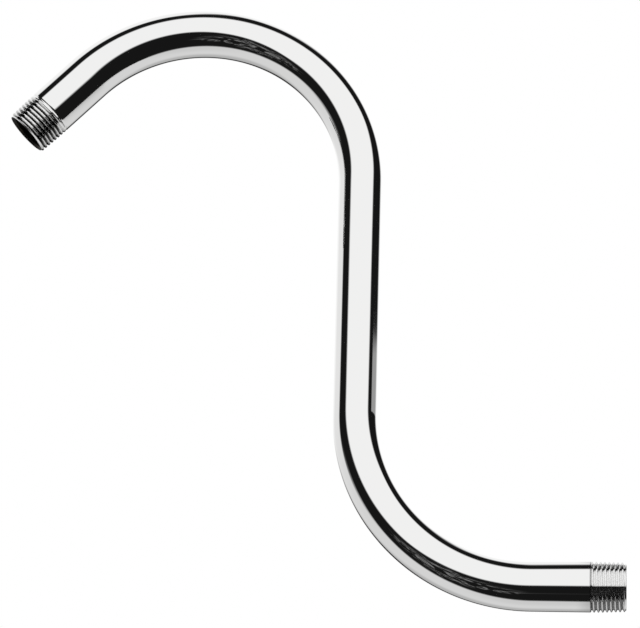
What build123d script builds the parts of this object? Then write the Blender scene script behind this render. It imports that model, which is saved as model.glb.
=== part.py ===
from build123d import *
import os

# Raised shower arm: one brass tube bent into an S, with a male pipe thread on each end.
# Millimetres, origin at the centre of the wall end's face, +X out of that end, +Z up.
# The tube runs from the wall end along -X, up the riser, over the top and down to the shower end.

# Tube
PIPE_DIAMETER = 21.3
BORE_DIAMETER = 16.4
# Bending draws the tube in, so in the plane of the S the riser is this much slimmer than the ends
RISER_SLIMMING = 2.7

# Ends, turned down to the mean crest size of a 1/2-14 tapered pipe thread
THREAD_DIAMETER = 21.0
THREAD_LENGTH = 15.0
THREAD_CHAMFER = 0.8
MOUTH_CHAMFER = 1.0

# Centreline, in order from the wall end
WALL_LEG = 40.0
WALL_BEND_RADIUS = 76.0
WALL_BEND_ANGLE = 90.0
RISER_LENGTH = 106.0
UPPER_BEND_RADIUS = 71.0
UPPER_BEND_ANGLE = 135.0
SHOWER_LEG = 37.0

# A bend is lofted through sections this many degrees apart, and each section is drawn in quarters
BEND_STEP = 7.5
QUARTER = 90.0
# A cutter reaches this far past the wall that it cuts
OVERCUT = 2.0

pipe_radius = PIPE_DIAMETER / 2
bore_radius = BORE_DIAMETER / 2

# Straight legs and tangent arcs in the XZ plane
with BuildLine(Plane.XZ):
    wall_leg = Line((0, 0), (-WALL_LEG, 0))
    wall_bend = JernArc(wall_leg @ 1, wall_leg % 1, WALL_BEND_RADIUS, -WALL_BEND_ANGLE)
    riser = Line(wall_bend @ 1, wall_bend @ 1 + RISER_LENGTH * (wall_bend % 1))
    upper_bend = JernArc(riser @ 1, riser % 1, UPPER_BEND_RADIUS, UPPER_BEND_ANGLE)
    shower_leg = Line(upper_bend @ 1, upper_bend @ 1 + SHOWER_LEG * (upper_bend % 1))
centreline = Wire([wall_leg, wall_bend, riser, upper_bend, shower_leg])

wall_end = Plane(origin=wall_leg @ 0, x_dir=(0, 1, 0), z_dir=-(wall_leg % 0))
shower_end = Plane(origin=shower_leg @ 1, x_dir=(0, 1, 0), z_dir=shower_leg % 1)

# The tube slims evenly between the wall thread and the riser, so part of it is done in the leg
thread_share = THREAD_LENGTH / WALL_LEG
plain_leg = WALL_LEG - THREAD_LENGTH
leg_slimming = RISER_SLIMMING * plain_leg / (plain_leg + wall_bend.length)


def plane_across(curve, where):
    """The plane square to a curve at a share of its length, with its local X across the S."""
    return Plane(origin=curve @ where, x_dir=(0, 1, 0), z_dir=curve % where)


def section(curve, where, slimming):
    """The tube's outside at a share of a curve: full width across the S, slimmed in its plane."""
    slim_radius = pipe_radius - slimming / 2
    quarters = [
        EllipticalCenterArc((0, 0), pipe_radius, slim_radius, start_angle=turn * QUARTER, arc_size=QUARTER)
        for turn in range(4)
    ]
    return plane_across(curve, where) * make_face(quarters)


def bend(curve, angle, first_slimming, last_slimming):
    """A bend of the tube, with its slimming changing evenly from one end to the other."""
    steps = max(1, round(angle / BEND_STEP))
    sections = []
    for step in range(steps + 1):
        share = step / steps
        slimming = first_slimming + share * (last_slimming - first_slimming)
        sections.append(section(curve, share, slimming))
    return loft(sections)


def bent_tube():
    """The outside of the whole tube, as a solid."""
    return Part() + [
        extrude(section(wall_leg, 0, 0), THREAD_LENGTH),
        loft([section(wall_leg, thread_share, 0), section(wall_leg, 1, leg_slimming)]),
        bend(wall_bend, WALL_BEND_ANGLE, leg_slimming, RISER_SLIMMING),
        extrude(section(riser, 0, RISER_SLIMMING), RISER_LENGTH),
        bend(upper_bend, UPPER_BEND_ANGLE, RISER_SLIMMING, 0),
        extrude(section(shower_leg, 0, 0), SHOWER_LEG),
    ]


def bore():
    """The waterway: round, and of one size from end to end."""
    return sweep(plane_across(wall_leg, 0) * Circle(bore_radius), path=centreline)


def thread_turning():
    """What the lathe takes off an end: everything outside a chamfered thread blank below the face."""
    base = (Align.CENTER, Align.CENTER, Align.MAX)
    blank = Cylinder(THREAD_DIAMETER / 2, THREAD_LENGTH, align=base)
    blank = chamfer(blank.edges().sort_by(Axis.Z)[-1], THREAD_CHAMFER)
    stock = Cylinder(pipe_radius + OVERCUT, THREAD_LENGTH, align=base)
    return stock - blank


def mouth_bevel():
    """The bevel that takes the burr off the bore at an end face."""
    base = (Align.CENTER, Align.CENTER, Align.MAX)
    return Cone(bore_radius, bore_radius + MOUTH_CHAMFER, MOUTH_CHAMFER, align=base)


arm = bent_tube() - bore()
for end in (wall_end, shower_end):
    arm -= end * thread_turning()
    arm -= end * mouth_bevel()

os.makedirs("parts", exist_ok=True)
export_step(arm, "parts/shower_arm.step")

size = arm.bounding_box().size
print("volume", round(arm.volume / 1000, 2), "cm3, solids", len(arm.solids()), "faces", len(arm.faces()))
print("size", round(size.X, 1), round(size.Y, 1), round(size.Z, 1))
print("shower end at", shower_leg @ 1, "pointing", shower_leg % 1)
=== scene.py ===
# %% [markdown]
# A chrome shower arm, as a lesson in Blender
#
# The arm is one length of brass tube. It comes out of the wall, rises in an S, turns over the top and
# points down at the shower head. Both ends carry a male pipe thread, and the outside is polished and
# chrome plated. The solid model has already fixed its size and place, so this script loads that model
# first and then dresses it.

# %% Load the solid model
import math

import bmesh
import bpy
from mathutils import Matrix, Vector


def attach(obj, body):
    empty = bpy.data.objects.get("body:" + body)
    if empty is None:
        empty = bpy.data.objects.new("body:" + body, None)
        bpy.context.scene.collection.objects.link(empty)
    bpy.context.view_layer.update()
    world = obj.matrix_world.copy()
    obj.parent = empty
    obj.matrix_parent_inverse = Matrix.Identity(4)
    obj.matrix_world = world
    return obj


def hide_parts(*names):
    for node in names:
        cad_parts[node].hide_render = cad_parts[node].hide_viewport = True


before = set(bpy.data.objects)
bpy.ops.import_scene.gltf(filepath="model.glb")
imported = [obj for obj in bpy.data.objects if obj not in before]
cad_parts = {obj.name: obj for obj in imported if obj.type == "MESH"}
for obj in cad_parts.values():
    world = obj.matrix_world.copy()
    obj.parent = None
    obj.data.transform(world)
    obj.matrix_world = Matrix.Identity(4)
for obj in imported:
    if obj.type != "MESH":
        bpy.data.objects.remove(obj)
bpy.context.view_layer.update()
DIGITS = 4


def short(point):
    """A point's coordinates, rounded for printing."""
    return [round(part, DIGITS) for part in point]


# %% [markdown]
# Node trees as short Python expressions
#
# The shape of the tube, its finish and the tent around it all follow rules. A rule is easier to read
# as a sum than as a list of nodes and links, so one small class wraps a socket and adds a Math node
# for each operator. A second class adds every other kind of node: its settings first, then the values
# or links of its sockets.

# %% A number in a node tree


class Value:
    """A number in a node tree. Sums with it add Math nodes."""

    def __init__(self, graph, socket):
        self.graph = graph
        self.socket = socket

    def math(self, operation, *others):
        inputs = dict(enumerate((self, *others)))
        return self.graph.value("ShaderNodeMath", {"operation": operation}, inputs)

    def __add__(self, other):
        return self.math("ADD", other)

    def __sub__(self, other):
        return self.math("SUBTRACT", other)

    def __mul__(self, other):
        return self.math("MULTIPLY", other)

    def __truediv__(self, other):
        return self.math("DIVIDE", other)

    def __neg__(self):
        return self * -1

    def __rsub__(self, other):
        return other + self * -1

    def __abs__(self):
        return self.math("ABSOLUTE")

    __radd__ = __add__
    __rmul__ = __mul__

    def sin(self):
        return self.math("SINE")

    def cos(self):
        return self.math("COSINE")

    def at_least(self, other):
        return self.math("MAXIMUM", other)

    def at_most(self, other):
        return self.math("MINIMUM", other)

    def between(self, low, high):
        return self.at_least(low).at_most(high)

    def rise(self, start, end, shape="SMOOTHSTEP"):
        """0 up to start, 1 from end on, and a soft or straight slope between them."""
        inputs = {"Value": self, "From Min": start, "From Max": end}
        return self.graph.value("ShaderNodeMapRange", {"interpolation_type": shape}, inputs, "Result")


print("numbers ready for sums")

# %% A node tree
# A Mix node has sockets of one name for numbers and for colours, so the colours go by their place.
MIX_FIRST_COLOUR = 6
MIX_SECOND_COLOUR = 7
MIX_COLOUR_RESULT = 2


class Graph:
    """A node tree that short calls fill."""

    def __init__(self, tree):
        self.tree = tree

    def node(self, kind, settings=None, inputs=None):
        """Adds a node: its settings first, then the values or links of its sockets."""
        node = self.tree.nodes.new(kind)
        for name, value in (settings or {}).items():
            setattr(node, name, value)
        for key, value in (inputs or {}).items():
            source = value.socket if isinstance(value, Value) else value
            if isinstance(source, bpy.types.NodeSocket):
                self.tree.links.new(source, node.inputs[key])
            else:
                node.inputs[key].default_value = source
        return node

    def value(self, kind, settings=None, inputs=None, output=0):
        """Adds a node and gives one of its outputs, ready for sums."""
        return Value(self, self.node(kind, settings, inputs).outputs[output])

    def parts(self, vector):
        """The X, Y and Z of a vector socket."""
        node = self.node("ShaderNodeSeparateXYZ", inputs={"Vector": vector})
        return [Value(self, output) for output in node.outputs]

    def colour_between(self, share, first, second):
        """A colour that goes from the first to the second as the share goes from 0 to 1."""
        inputs = {"Factor": share, MIX_FIRST_COLOUR: first, MIX_SECOND_COLOUR: second}
        return self.node("ShaderNodeMix", {"data_type": "RGBA"}, inputs).outputs[MIX_COLOUR_RESULT]

    def report(self, what):
        """Prints how far the tree has grown."""
        print(what, "in place, nodes so far:", len(self.tree.nodes))


print("node trees ready to fill")

# %% [markdown]
# Sizes
#
# These are the solid model's own sizes, because the dressed arm has to lie exactly where the solid is.
# Only the thread adds new ones. It is the common tapered pipe thread with 14 turns to the inch: a
# little slimmer at the end than where it runs out on the tube, so that it tightens as it is screwed in.

# %% Sizes of the arm
MM = 0.001
INCH = 25.4 * MM
TURNS_PER_INCH = 14

ARM_SIZES = {
    "Pipe Diameter": 21.3 * MM,
    "Riser Slimming": 2.7 * MM,
    "Wall Leg": 40.0 * MM,
    "Wall Bend Radius": 76.0 * MM,
    "Wall Bend Angle": math.radians(90),
    "Riser Length": 106.0 * MM,
    "Upper Bend Radius": 71.0 * MM,
    "Upper Bend Angle": math.radians(135),
    "Shower Leg": 37.0 * MM,
    "Bore Diameter": 16.4 * MM,
    "Mouth Chamfer": 1.0 * MM,
    "Thread Length": 15.0 * MM,
    "Thread Pitch": INCH / TURNS_PER_INCH,
    "Thread Depth": 1.0 * MM,
    "Thread Crest": 0.45 * MM,
    "Thread Root": 0.2 * MM,
    "Thread Small Diameter": 20.7 * MM,
    "Thread Taper": 1 / 16,
    "Thread Lead In": 0.8 * MM,
    "Wall Thread Runout": 0.5 * MM,
    "Shower Thread Runout": 4.5 * MM,
    "End Face Diameter": 19.4 * MM,
}
tube_length = sum(ARM_SIZES[name] for name in ("Wall Leg", "Riser Length", "Shower Leg"))
for bend in ("Wall", "Upper"):
    tube_length += ARM_SIZES[f"{bend} Bend Radius"] * ARM_SIZES[f"{bend} Bend Angle"]
print("tube length", round(tube_length, DIGITS), "m")

# %% [markdown]
# The shape of the tube as a rule
#
# A bent tube could be a curve with a round profile, but a curve knows nothing of a thread. Here the
# tube starts as a flat sheet, as if it had been slit and unrolled: X is the distance along the tube
# and Y the angle around it. Geometry Nodes then roll the sheet up. Each point of the sheet asks how far
# along the S it is, how wide the tube is there, and whether it lies on a thread's crest or in its
# groove.
#
# The sheets are denser where the threads are. A sheet that runs a little past an end folds in and
# becomes the flat end face, and the waterway is a second set of sheets that meets the first at the two
# mouths.

# %% The tree and its named inputs
arm_tree = bpy.data.node_groups.new("bent threaded tube", "GeometryNodeTree")
arm_tree.interface.new_socket("Mesh", in_out="OUTPUT", socket_type="NodeSocketGeometry")
for name in ARM_SIZES:
    arm_tree.interface.new_socket(name, in_out="INPUT", socket_type="NodeSocketFloat")
for name in ("Chrome", "Waterway"):
    arm_tree.interface.new_socket(name, in_out="INPUT", socket_type="NodeSocketMaterial")

arm = Graph(arm_tree)
arm_inputs = arm.node("NodeGroupInput")
size = {name: Value(arm, arm_inputs.outputs[name]) for name in ARM_SIZES}
print("the tree has", len(size), "sizes")

# %% Where each stretch of the S starts
wall_arc = size["Wall Bend Radius"] * size["Wall Bend Angle"]
upper_arc = size["Upper Bend Radius"] * size["Upper Bend Angle"]
riser_start = size["Wall Leg"] + wall_arc
riser_end = riser_start + size["Riser Length"]
shower_leg_start = riser_end + upper_arc
tube_end = shower_leg_start + size["Shower Leg"]
pipe_radius = size["Pipe Diameter"] / 2
bore_radius = size["Bore Diameter"] / 2
face_radius = size["End Face Diameter"] / 2
rim_width = face_radius - bore_radius - size["Mouth Chamfer"]
arm.report("stretches of the S")

# %% [markdown]
# The flat sheets
#
# Six rectangles lie side by side: the two threads, the tube between them, and the waterway with a bevel
# at each mouth. Z is 0 on the outside and 1 on the waterway, so that the rule below can tell them apart.
# Neighbours share their edges, which are merged once the sheet is rolled up. Each sheet starts as a grid
# of size 1 around the origin, which is then moved to its place.

# %% Unrolled sheets
SEGMENTS = 96
THREAD_ROWS = 340
TUBE_ROWS = 220
WATERWAY_ROWS = 110
BEVEL_ROWS = 2
THREAD_MARGIN = 1.5 * MM
OUTSIDE = 0.0
WATERWAY = 1.0
GRID_SIZE = 1.0

thread_zone = size["Thread Length"] + THREAD_MARGIN
bevel = size["Mouth Chamfer"]
sheets = [
    (-rim_width, thread_zone, THREAD_ROWS, OUTSIDE),
    (thread_zone, tube_end - thread_zone, TUBE_ROWS, OUTSIDE),
    (tube_end - thread_zone, tube_end + rim_width, THREAD_ROWS, OUTSIDE),
    (0.0, bevel, BEVEL_ROWS, WATERWAY),
    (bevel, tube_end - bevel, WATERWAY_ROWS, WATERWAY),
    (tube_end - bevel, tube_end, BEVEL_ROWS, WATERWAY),
]
flat = arm.node("GeometryNodeJoinGeometry")
for start, end, rows, side in sheets:
    grid = arm.node(
        "GeometryNodeMeshGrid",
        inputs={"Size X": GRID_SIZE, "Size Y": GRID_SIZE, "Vertices X": rows, "Vertices Y": SEGMENTS + 1},
    )
    across, around, _ = arm.parts(arm.node("GeometryNodeInputPosition").outputs[0])
    distance_along = start + (across + GRID_SIZE / 2) * (end - start)
    angle_around = (around + GRID_SIZE / 2) * math.tau
    place = arm.node("ShaderNodeCombineXYZ", inputs={"X": distance_along, "Y": angle_around, "Z": side})
    sheet = arm.node(
        "GeometryNodeSetPosition",
        inputs={"Geometry": grid.outputs["Mesh"], "Position": place.outputs[0]},
    )
    mesh = sheet.outputs[0]
    if side == OUTSIDE:
        mesh = arm.node("GeometryNodeFlipFaces", inputs={"Mesh": mesh}).outputs[0]
    arm_tree.links.new(mesh, flat.inputs[0])
print(len(sheets), "sheets,", SEGMENTS, "steps around")

# %% [markdown]
# The thread
#
# A thread is a groove that climbs one pitch for each turn. The distance along the tube, less the share
# of a turn around it, says how many pitches a point is from the start: whole numbers are crests and
# halves are grooves. That makes it right-handed. The distance from the nearest crest then gives the
# shape that a die cuts: a flat crest, straight flanks 60 degrees apart and a narrow root.
#
# The crests follow the taper, the groove starts in the end face's chamfer, and it runs out before the
# plain tube: at once on the wall end, and over the last two and a half turns on the shower end.

# %% Across one turn of the thread
along, turn, is_waterway = arm.parts(arm.node("GeometryNodeInputPosition").outputs[0])
station = along.between(0.0, tube_end)
pitches = along / size["Thread Pitch"] - turn / math.tau
from_crest = abs(pitches - pitches.math("ROUND")) * size["Thread Pitch"]
flank_width = (size["Thread Pitch"] - size["Thread Crest"] - size["Thread Root"]) / 2
in_groove = ((from_crest - size["Thread Crest"] / 2) / flank_width).between(0.0, 1.0)
arm.report("crests and grooves")

# %% Radius of the outside


def cut_share(from_end, runout):
    """How much of its full depth the groove has at a distance from an end."""
    lead_in = (from_end / size["Thread Lead In"]).between(0.0, 1.0)
    fade_out = ((size["Thread Length"] - from_end) / runout).between(0.0, 1.0)
    return lead_in * fade_out


def blank_radius(from_end):
    """The thread's crest line: tapered, chamfered at the end and never wider than the pipe."""
    tapered = size["Thread Small Diameter"] / 2 + from_end * size["Thread Taper"] / 2
    return tapered.at_most(pipe_radius).at_most(face_radius + from_end)


from_wall_end = along
from_shower_end = tube_end - along
on_wall_thread = cut_share(from_wall_end, size["Wall Thread Runout"])
on_shower_thread = cut_share(from_shower_end, size["Shower Thread Runout"])
groove = in_groove * (on_wall_thread + on_shower_thread)
crest_radius = blank_radius(from_wall_end).at_most(blank_radius(from_shower_end))
outside_radius = crest_radius - size["Thread Depth"] * groove
arm.report("outside")

# %% Radius of the waterway, and the choice between the two
near_end = station.at_most(tube_end - station)
waterway_radius = bore_radius + (bevel - near_end).at_least(0.0)
radius = outside_radius + is_waterway * (waterway_radius - outside_radius)
arm.report("waterway")

# %% [markdown]
# Rolling the sheet up along the S
#
# The S is made of five stretches: leg, bend, riser, bend, leg. Each stretch moves the centre of the tube
# on by its own share of the distance, and a stretch that is not yet reached adds nothing. The sum of all
# five is the centre. In the plane of the S the tube is drawn in a little between the ends, as the
# bending left it.

# %% Centre of the tube and its direction
wall_turn = (station - size["Wall Leg"]).between(0.0, wall_arc) / size["Wall Bend Radius"]
upper_turn = (station - riser_end).between(0.0, upper_arc) / size["Upper Bend Radius"]
riser_run = (station - riser_start).between(0.0, size["Riser Length"])
shower_run = (station - shower_leg_start).at_least(0.0)
riser_slope = size["Wall Bend Angle"]
shower_slope = riser_slope - size["Upper Bend Angle"]

centre_x = -(
    station.at_most(size["Wall Leg"])
    + size["Wall Bend Radius"] * wall_turn.sin()
    + riser_run * riser_slope.cos()
    + size["Upper Bend Radius"] * (riser_slope.sin() - (riser_slope - upper_turn).sin())
    + shower_run * shower_slope.cos()
)
centre_z = (
    size["Wall Bend Radius"] * (1 - wall_turn.cos())
    + riser_run * riser_slope.sin()
    + size["Upper Bend Radius"] * ((riser_slope - upper_turn).cos() - riser_slope.cos())
    + shower_run * shower_slope.sin()
)
slope = wall_turn - upper_turn
arm.report("centre of the tube")

# %% Slimming, and the rolled-up point
drawn_in = station.rise(size["Thread Length"], riser_start, "LINEAR")
let_out = station.rise(riser_end, shower_leg_start, "LINEAR")
slimming = size["Riser Slimming"] / 2 * drawn_in * (1 - let_out) * (1 - is_waterway)
in_plane = (radius - slimming) * turn.cos()
across_plane = radius * turn.sin()
rolled = arm.node(
    "ShaderNodeCombineXYZ",
    inputs={
        "X": centre_x + in_plane * slope.sin(),
        "Y": across_plane,
        "Z": centre_z + in_plane * slope.cos(),
    },
)
arm.report("rolled-up tube")

# %% [markdown]
# Dirt and painted shade on the threads
#
# A thread holds more dirt than a smooth tube, and its colour here also carries painted shade. On both
# ends a darkening lies on top and underneath, thinner on the crests, and the sides stay bright: painted
# shade mixed with dirt. On the wall end it fades out on the plain tube, and a thin dark ring marks where
# the thread ends. On the shower end the darkening reaches further up from below, and the grooves are
# darkened all the way round, with dirt and painted shade. Each point keeps its share of dirt and painted
# shade as a named attribute, and the finish reads it there.

# %% Dirt and painted shade on top and underneath
FILM_DIRT_AND_SHADE = 0.7
CREST_WEAR = 0.3
TOP_DARKENING = (0.5, 0.85)
WALL_UNDERSIDE_DARKENING = (-0.5, -0.85)
SHOWER_UNDERSIDE_DARKENING = (-0.15, -0.4)
DARKENING_SPREAD = 16.0 * MM

upward = turn.cos()
on_crest = 1 - groove


def dirt_and_shade_film(reach, underside):
    """Dirt and painted shade on top of a thread and underneath it, thinner on its crests."""
    # Painted shade: the top and the underside are darkened, and the sides are left bright.
    sides = upward.rise(*TOP_DARKENING).at_least(upward.rise(*underside))
    return FILM_DIRT_AND_SHADE * (1 - CREST_WEAR * on_crest) * sides * reach


past_wall_face = from_wall_end.rise(0.0, size["Thread Lead In"])
past_wall_thread = from_wall_end - size["Thread Length"]
wall_dirt_and_shade = dirt_and_shade_film(past_wall_face * past_wall_thread.rise(DARKENING_SPREAD, 0.0), WALL_UNDERSIDE_DARKENING)
shower_dirt_and_shade = dirt_and_shade_film(on_shower_thread, SHOWER_UNDERSIDE_DARKENING)
arm.report("film of dirt")

# %% A dark ring, the grooves, and the share of dirt and painted shade on each point
RING_DARKNESS = 0.7
RING_WIDTH = 1.6 * MM
GROOVE_DIRT_AND_SHADE = 0.9

# A thin dark ring where the wall thread ends.
dark_ring = RING_DARKNESS * abs(past_wall_thread).rise(RING_WIDTH / 2, 0.0)
# The shower thread's grooves are darkened all round: dirt in them, and painted shade.
groove_dirt_and_shade = GROOVE_DIRT_AND_SHADE * in_groove * on_shower_thread
# The share of dirt and painted shade on each point.
dirt_and_shade = wall_dirt_and_shade.at_least(dark_ring) + shower_dirt_and_shade.at_least(groove_dirt_and_shade)

marked = flat
for name, share in {"dirt_and_shade": dirt_and_shade, "waterway": is_waterway}.items():
    marked = arm.node(
        "GeometryNodeStoreNamedAttribute",
        {"data_type": "FLOAT", "domain": "POINT"},
        {"Geometry": marked.outputs[0], "Name": name, "Value": share},
    )
rolled_up = arm.node(
    "GeometryNodeSetPosition",
    inputs={"Geometry": marked.outputs[0], "Position": rolled.outputs[0]},
)
arm.report("dirt on the threads")

# %% [markdown]
# Closing the seams and keeping the edges crisp
#
# The rolled sheets meet but are not joined yet. Merging the doubled points closes the seam along the
# tube and the joints between the sheets, so the arm becomes one closed skin. All faces are shaded
# smooth, and edges that turn sharply, such as the rims of the mouths, are marked sharp so that the light
# breaks there. The outside is then given the chrome, and the waterway a finish of its own.

# %% Closing the tree
MERGE_DISTANCE = 0.002 * MM
SHARP_ANGLE = math.radians(38)
HALFWAY_IN = (OUTSIDE + WATERWAY) / 2

merged = arm.node(
    "GeometryNodeMergeByDistance",
    inputs={"Geometry": rolled_up.outputs[0], "Distance": MERGE_DISTANCE},
)
smooth = arm.node("GeometryNodeSetShadeSmooth", inputs={"Geometry": merged.outputs[0]})
turns_sharply = arm.value("GeometryNodeInputMeshEdgeAngle").math("GREATER_THAN", SHARP_ANGLE)
crisp = arm.node(
    "GeometryNodeSetShadeSmooth",
    {"domain": "EDGE"},
    {"Geometry": smooth.outputs[0], "Selection": turns_sharply, "Shade Smooth": False},
)
realized = arm.node("GeometryNodeRealizeInstances", inputs={"Geometry": crisp.outputs[0]})
chromed = arm.node(
    "GeometryNodeSetMaterial",
    inputs={"Geometry": realized.outputs[0], "Material": arm_inputs.outputs["Chrome"]},
)
waterway_mark = arm.value("GeometryNodeInputNamedAttribute", {"data_type": "FLOAT"}, {"Name": "waterway"})
finished = arm.node(
    "GeometryNodeSetMaterial",
    inputs={
        "Geometry": chromed.outputs[0],
        "Selection": waterway_mark.math("GREATER_THAN", HALFWAY_IN),
        "Material": arm_inputs.outputs["Waterway"],
    },
)
arm.node("NodeGroupOutput", inputs={"Mesh": finished.outputs[0]})
arm.report("whole arm")

# %% [markdown]
# Chrome
#
# Plated chrome is a mirror with hardly any colour of its own. What tells it from a perfect mirror is the
# work under it: the tube was drawn, bent and polished by hand, so its surface waves a little, and
# handling leaves faint smears that soften the reflections in places. The grooves of the threads hold
# some dirt and take less polish, and the threads' colour also carries painted shade.

# %% Smears, waves, and dirt with painted shade on the chrome
SMEAR_NOISE = {"Scale": 38.0, "Detail": 5.0, "Roughness": 0.6}
WAVE_NOISE = {"Scale": 55.0, "Detail": 1.0, "Roughness": 0.4}


def new_finish(name):
    """A material with an empty node tree, and that tree."""
    material = bpy.data.materials.new(name)
    material.use_nodes = True
    material.node_tree.nodes.clear()
    return material, Graph(material.node_tree)


chrome, plate = new_finish("polished_chrome")
surface_point = plate.node("ShaderNodeTexCoord").outputs["Object"]
dirt_and_shade_mark = plate.value("ShaderNodeAttribute", {"attribute_name": "dirt_and_shade"}, output="Fac")
smears = plate.value("ShaderNodeTexNoise", inputs={"Vector": surface_point, **SMEAR_NOISE})
waves = plate.value("ShaderNodeTexNoise", inputs={"Vector": surface_point, **WAVE_NOISE})
plate.report("smears, waves and dirt")

# %% The chrome finish
CHROME_COLOUR = (0.87, 0.87, 0.866, 1.0)
# Near black, for the dirt and the painted shade on the threads.
DIRT_AND_SHADE_COLOUR = (0.03, 0.03, 0.028, 1.0)
DIRT_AND_SHADE_SHOWS = (0.3, 0.9)
POLISHED = 0.03
SMEARED = 0.035
SMEAR_EDGE = (0.5, 0.75)
DIRT_DULLNESS = 0.12
WAVE_HEIGHT = 0.004 * MM

# Where the mark is high the chrome's colour goes dark: dirt, and painted shade on the threads.
colour = plate.colour_between(dirt_and_shade_mark.rise(*DIRT_AND_SHADE_SHOWS), CHROME_COLOUR, DIRT_AND_SHADE_COLOUR)
roughness = POLISHED + SMEARED * smears.rise(*SMEAR_EDGE) + DIRT_DULLNESS * dirt_and_shade_mark
ripple = plate.node("ShaderNodeBump", inputs={"Height": waves, "Distance": WAVE_HEIGHT, "Strength": 1.0})
chrome_shader = plate.node(
    "ShaderNodeBsdfPrincipled",
    inputs={"Base Color": colour, "Metallic": 1.0, "Roughness": roughness, "Normal": ripple.outputs[0]},
)
plate.node("ShaderNodeOutputMaterial", inputs={"Surface": chrome_shader.outputs[0]})
plate.report("chrome")

# %% [markdown]
# The waterway
#
# Plating does not reach far into a tube, so the waterway is bare brass that water has dulled and
# darkened. Blotches of two browns and a rough surface are enough, because little light gets in.

# %% The dull brass of the waterway
TARNISH_DARK = (0.012, 0.011, 0.009, 1.0)
TARNISH_LIGHT = (0.05, 0.042, 0.03, 1.0)
BLOTCH_NOISE = {"Scale": 180.0, "Detail": 4.0, "Roughness": 0.6}
BLOTCH_EDGE = (0.35, 0.7)
DULL = 0.5
BLOTCH_DULLNESS = 0.2

brass, tarnish = new_finish("tarnished_brass")
inner_point = tarnish.node("ShaderNodeTexCoord").outputs["Object"]
blotches = tarnish.value("ShaderNodeTexNoise", inputs={"Vector": inner_point, **BLOTCH_NOISE})
brown = tarnish.colour_between(blotches.rise(*BLOTCH_EDGE), TARNISH_DARK, TARNISH_LIGHT)
brass_shader = tarnish.node(
    "ShaderNodeBsdfPrincipled",
    inputs={"Base Color": brown, "Metallic": 1.0, "Roughness": DULL + BLOTCH_DULLNESS * blotches},
)
tarnish.node("ShaderNodeOutputMaterial", inputs={"Surface": brass_shader.outputs[0]})
tarnish.report("brass")

# %% [markdown]
# Making the arm
#
# The tree runs as a modifier on an empty mesh. Its inputs are set before Blender looks at the object for
# the first time. The result is then taken over as a plain mesh and the modifier is removed, so that the
# piece can be exported.

# %% The finished arm
# The grids bring along an empty material slot. It comes first, and no face uses it.
EMPTY_SLOT = 0

shower_arm = bpy.data.objects.new("chrome_shower_arm", bpy.data.meshes.new("unrolled"))
bpy.context.scene.collection.objects.link(shower_arm)
maker = shower_arm.modifiers.new("bent threaded tube", "NODES")
maker.node_group = arm_tree
settings = {**ARM_SIZES, "Chrome": chrome, "Waterway": brass}
for name, setting in settings.items():
    maker[arm_tree.interface.items_tree[name].identifier] = setting

depsgraph = bpy.context.evaluated_depsgraph_get()
made = bpy.data.meshes.new_from_object(
    shower_arm.evaluated_get(depsgraph), preserve_all_data_layers=True, depsgraph=depsgraph
)
shower_arm.modifiers.remove(maker)
shower_arm.data = made
made.name = "chrome_shower_arm"
made.materials.pop(index=EMPTY_SLOT)
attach(shower_arm, "root")
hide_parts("shower_arm")
print("arm of", len(made.vertices), "points and", len(made.polygons), "faces")
print("its finishes:", [finish.name for finish in made.materials])

# %% [markdown]
# White ground
#
# Behind everything lies a plain white ground. Light Path tells the rays that see it from those that only
# bring light to the floor. The camera's own rays see it, and so do the rays that the chrome mirrors and
# those that pass through something. For them the world has a strength of 1, which is white, and for the
# light it has a plain, even level.

# %% The white ground
WHITE = (1.0, 1.0, 1.0, 1.0)
PLAIN_LEVEL = 0.5

world = bpy.data.worlds.new("white_ground")
bpy.context.scene.world = world
world.use_nodes = True
world.node_tree.nodes.clear()
ground = Graph(world.node_tree)
light_path = ground.node("ShaderNodeLightPath")
camera_ray, mirrored_ray, clear_ray = (
    Value(ground, light_path.outputs[f"Is {kind} Ray"]) for kind in ("Camera", "Glossy", "Transmission")
)
seen = camera_ray.at_least(mirrored_ray).at_least(clear_ray)
background = ground.node(
    "ShaderNodeBackground",
    inputs={"Color": WHITE, "Strength": PLAIN_LEVEL + (1 - PLAIN_LEVEL) * seen},
)
ground.node("ShaderNodeOutputWorld", inputs={"Surface": background.outputs[0]})
print("white ground, and an even light level of", PLAIN_LEVEL)

# %% [markdown]
# A tent around the chrome
#
# On a plain white ground a mirror is plain white too, and its form is lost. A photographer puts a dark
# tent with openings around chrome, and what the chrome then shows is the inside of the tent. Here the
# tent is a large sphere that only mirrored rays meet, so the camera looks straight through it from every
# side and it casts no shadow. The sphere is so large that every part of the arm is at its middle, and a
# point of it is simply a direction.

# %% The tent
TENT_RADIUS = 60.0
TENT_STEPS = 32

tent_mesh = bpy.data.meshes.new("tent")
ball = bmesh.new()
bmesh.ops.create_uvsphere(ball, u_segments=2 * TENT_STEPS, v_segments=TENT_STEPS, radius=TENT_RADIUS)
bmesh.ops.reverse_faces(ball, faces=ball.faces)
ball.to_mesh(tent_mesh)
ball.free()
tent = bpy.data.objects.new("tent", tent_mesh)
bpy.context.scene.collection.objects.link(tent)
tent.visible_camera = False
tent.visible_diffuse = False
tent.visible_transmission = False
tent.visible_shadow = False
print("tent of", len(tent_mesh.polygons), "faces,", TENT_RADIUS, "m around the arm")

# %% The tent's cloth, and the direction of each point on it
cloth, room = new_finish("tent_cloth")
tent_mesh.materials.append(cloth)
tent_point = room.node("ShaderNodeTexCoord").outputs["Object"]
ray = room.node("ShaderNodeVectorMath", {"operation": "NORMALIZE"}, {0: tent_point}).outputs[0]
room.report("directions on the tent")

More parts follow.
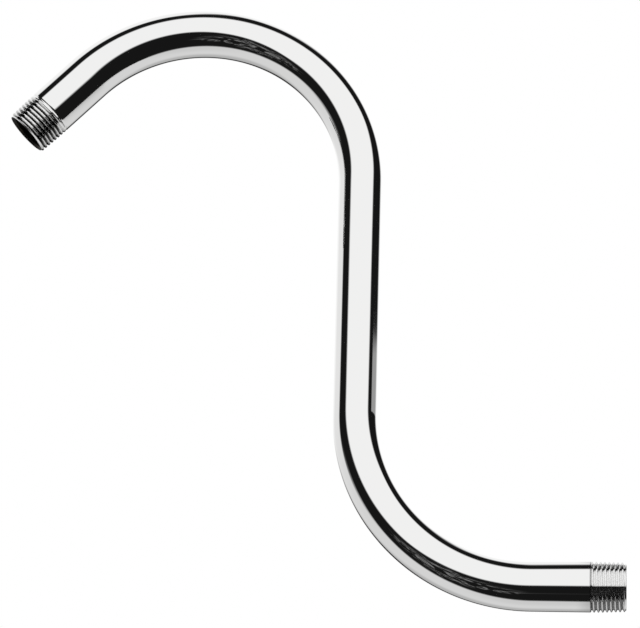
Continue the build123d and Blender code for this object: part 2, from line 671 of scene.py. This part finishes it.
# %% [markdown]
# Shapes on the tent
#
# The openings are soft-edged shapes on the inside of the tent. Their places are directions in degrees:
# azimuth 0 is the camera's side and 90 its right, and elevation 90 is straight up. A patch is a
# rectangle, a disc is round, and half of the tent is a disc of 90 degrees.

# %% Directions
QUARTER_TURN = 90


def direction_to(azimuth, elevation):
    """Unit vector towards a place on the tent."""
    across = math.radians(azimuth)
    upwards = math.radians(elevation)
    level = math.cos(upwards)
    return Vector((math.sin(across) * level, -math.cos(across) * level, math.sin(upwards)))


def share_of(axis):
    """How much of the ray points along an axis."""
    return room.value("ShaderNodeVectorMath", {"operation": "DOT_PRODUCT"}, {0: ray, 1: axis}, "Value")


def degrees_above(axis):
    """The ray's angle above the plane that stands square to an axis."""
    return share_of(axis).math("ARCSINE").math("DEGREES")


ray_elevation = degrees_above(direction_to(0, QUARTER_TURN))
room.report("elevation on the tent")

# %% Shapes


def patch(azimuth, elevation, half_width, half_height, edge, roll=0.0):
    """1 inside a rectangle of the tent and 0 outside it; roll lowers its right side."""
    facing = direction_to(azimuth, elevation)
    level = direction_to(azimuth + QUARTER_TURN, 0)
    upright = level.cross(-facing)
    lean = math.radians(roll)
    right = level * math.cos(lean) - upright * math.sin(lean)
    up = upright * math.cos(lean) + level * math.sin(lean)
    ahead = share_of(facing)
    sideways = abs(share_of(right).math("ARCTAN2", ahead).math("DEGREES"))
    upwards = abs(share_of(up).math("ARCTAN2", ahead).math("DEGREES"))
    inside_width = sideways.rise(half_width + edge / 2, half_width - edge / 2)
    inside_height = upwards.rise(half_height + edge / 2, half_height - edge / 2)
    return inside_width * inside_height


def disc(azimuth, elevation, radius, edge):
    """1 inside a round part of the tent and 0 outside it."""
    off_centre = QUARTER_TURN - degrees_above(direction_to(azimuth, elevation))
    return off_centre.rise(radius + edge / 2, radius - edge / 2)


def half_tent(azimuth, elevation, edge):
    """1 in the half of the tent that lies towards a direction and 0 in the other half."""
    return disc(azimuth, elevation, QUARTER_TURN, edge)


print("patch, disc and half tent ready")

# %% [markdown]
# The window and the sweep
#
# The broad white band on the tube is one large window in front of it and above, where the tent is open
# and the ground shows as it is. The grey bands come from a pale sweep: behind and below the arm the
# cloth is thin, lets most of the white through, and more of it with height. The sweep ends at a dark
# ceiling and at a dark corner on the upper right, where the black lines along the upper edges come from.
# Low in that corner is a paler gap, which draws the grey sliver at the foot of the riser. A dark strip
# behind the arm draws the thin line along its lower edges.

# %% The window, the sweep and what is dark in it
SWEEP_LEAN = (-31, 11)
CORNER_GAP = 0.4
GAP_TOP = (19.8, 19.55)

window = patch(azimuth=19, elevation=32.7, half_width=60.8, half_height=42.5, edge=8, roll=-8)
low_sweep = half_tent(azimuth=188, elevation=-2.4, edge=8)
high_sweep = half_tent(azimuth=180, elevation=-8.3, edge=8)
behind = low_sweep + ray_elevation.rise(*SWEEP_LEAN) * (high_sweep - low_sweep)
ceiling = disc(azimuth=114, elevation=76, radius=19.2, edge=12)
gap = half_tent(azimuth=201, elevation=0, edge=4) * ray_elevation.rise(*GAP_TOP)
corner = disc(azimuth=93, elevation=25, radius=55, edge=16) * (1 - CORNER_GAP * gap)
back_strip = patch(azimuth=185, elevation=1, half_width=25, half_height=12, edge=14)
pale_part = behind * (1 - ceiling) * (1 - corner) * (1 - back_strip)
room.report("window and sweep")

# %% How much of the white the sweep lets through
SWEEP_LIGHT = 0.67
# Each gain in light, with the elevations between which it comes
SWEEP_GAINS = [(0.07, -80, -55), (0.17, -19, 37)]
SWEEP_GLOW = 0.2
SWEEP_DIP = 0.32

dip = patch(azimuth=188, elevation=-16, half_width=29, half_height=23, edge=25)
glow = patch(azimuth=190, elevation=45, half_width=28, half_height=35, edge=25)
sweep_light = SWEEP_LIGHT + SWEEP_GLOW * glow
for gain, start, end in SWEEP_GAINS:
    sweep_light = sweep_light + gain * ray_elevation.rise(start, end)
sweep = pale_part * (1 - SWEEP_DIP * dip) * sweep_light
room.report("light of the sweep")

# %% [markdown]
# Odds and ends in the dark
#
# A real tent is never quite tight. Low on the left of the camera it lets in a little light, which shows
# as fine wisps in the black bands of the two bends. Noise that is folded at its middle value makes such
# thin lines.

# %% Wisps in the dark part of the tent
WISP_NOISE = {"Scale": 3.8, "Detail": 3.0, "Roughness": 0.55, "Distortion": 1.2}
WISP_EDGE = (0.9, 1.0)

wisp_noise = room.value("ShaderNodeTexNoise", inputs={"Vector": ray, **WISP_NOISE})
folded = 1 - abs(wisp_noise * 2 - 1)
leak = patch(azimuth=-36, elevation=-38, half_width=19, half_height=17, edge=12)
wisps = folded.rise(*WISP_EDGE) * leak
room.report("wisps")

# %% [markdown]
# Closing the tent
#
# The shapes add up to the share of the white ground that shows in each direction. A Mix Shader takes
# that share as its factor: clear where the tent is open, and a cloth that is almost black everywhere
# else.

# %% The tent's finish
WISP_LIGHT = 0.2
CLOTH_LIGHT = 0.0088

shows_through = window + (1 - window) * sweep + WISP_LIGHT * wisps
black_cloth = room.node("ShaderNodeEmission", inputs={"Color": WHITE, "Strength": CLOTH_LIGHT})
opening = room.node("ShaderNodeBsdfTransparent")
tent_shader = room.node(
    "ShaderNodeMixShader",
    inputs={0: shows_through, 1: black_cloth.outputs[0], 2: opening.outputs[0]},
)
room.node("ShaderNodeOutputMaterial", inputs={"Surface": tent_shader.outputs[0]})
room.report("tent's finish")

# %% [markdown]
# Floor
#
# The arm is held by its wall thread, well above a pale floor that catches its soft shadow. A square
# floor would show its corners, so this one is a disc that fades into the white ground towards its rim. A
# broad sun lights it evenly. The chrome mirrors neither of them, because it already shows the tent, and
# from below the floor is clear.

# %% A disc for the floor
FLOOR_HEIGHT = -0.68
FLOOR_RADIUS = 4.0
FLOOR_STEPS = 64

step_angle = 4 * QUARTER_TURN / FLOOR_STEPS
rim = [direction_to(step * step_angle, 0) * FLOOR_RADIUS for step in range(FLOOR_STEPS)]
floor_mesh = bpy.data.meshes.new("floor")
floor_mesh.from_pydata([(point.x, point.y, FLOOR_HEIGHT) for point in rim], [], [range(FLOOR_STEPS)])
floor = bpy.data.objects.new("floor", floor_mesh)
bpy.context.scene.collection.objects.link(floor)
floor.visible_glossy = False
print("floor at", FLOOR_HEIGHT, "m, its normal", short(floor_mesh.polygons[0].normal))

# %% The floor's finish
FLOOR_COLOUR = (0.86, 0.86, 0.855, 1.0)
FADE_START = 0.6
FADE_END = 3.6

floor_paint, paint = new_finish("pale_floor")
floor_mesh.materials.append(floor_paint)
matt = paint.node("ShaderNodeBsdfDiffuse", inputs={"Color": FLOOR_COLOUR})
clear = paint.node("ShaderNodeBsdfTransparent")
under_side = Value(paint, paint.node("ShaderNodeNewGeometry").outputs["Backfacing"])
floor_x, floor_y, _ = paint.parts(paint.node("ShaderNodeTexCoord").outputs["Object"])
distance = (floor_x * floor_x + floor_y * floor_y).math("SQRT")
faded = under_side.at_least(distance.rise(FADE_START, FADE_END))
floor_shader = paint.node(
    "ShaderNodeMixShader",
    inputs={0: faded, 1: matt.outputs[0], 2: clear.outputs[0]},
)
paint.node("ShaderNodeOutputMaterial", inputs={"Surface": floor_shader.outputs[0]})
paint.report("floor's finish")

# %% The sun over the floor
SUN_STRENGTH = 1.2
SUN_WIDTH = math.radians(12)

sun_data = bpy.data.lights.new("floor_sun", "SUN")
sun_data.energy = SUN_STRENGTH
sun_data.angle = SUN_WIDTH
sun = bpy.data.objects.new("floor_sun", sun_data)
sun.visible_glossy = False
bpy.context.scene.collection.objects.link(sun)
print("sun of strength", SUN_STRENGTH, "straight above the floor")

# %% [markdown]
# Camera
#
# The arm was photographed with a long lens from a little below, almost square to the plane of the S. The
# camera stands about two metres away, looks at a point in that plane, and is turned by a degree and a
# half about its own axis so that the wall leg lies as it does in the photograph.

# %% Camera
CAMERA_PLACE = Vector((0.0103, -1.8405, -0.5454))
CAMERA_AIM = Vector((-0.1320, 0.0, 0.1219))
CAMERA_ROLL = math.radians(1.53)
CAMERA_LENS = 256.3
SENSOR_WIDTH = 36.0

camera_data = bpy.data.cameras.new("camera")
camera_data.lens = CAMERA_LENS
camera_data.sensor_width = SENSOR_WIDTH
camera_data.sensor_fit = "HORIZONTAL"
camera = bpy.data.objects.new("camera", camera_data)
gaze = (CAMERA_AIM - CAMERA_PLACE).to_track_quat("-Z", "Y").to_matrix().to_4x4()
camera.matrix_world = Matrix.Translation(CAMERA_PLACE) @ gaze @ Matrix.Rotation(CAMERA_ROLL, 4, "Z")
bpy.context.scene.collection.objects.link(camera)
bpy.context.scene.camera = camera
bpy.context.scene.view_settings.view_transform = "Standard"
print("camera", round((CAMERA_AIM - CAMERA_PLACE).length, DIGITS), "m from its aim")

# %% [markdown]
# Measuring and finishing
# The end
# The dressed arm may not be larger than the solid it stands for. The last line brings the scene
# up to date.

# %% Bringing the scene up to date
bpy.context.view_layer.update()
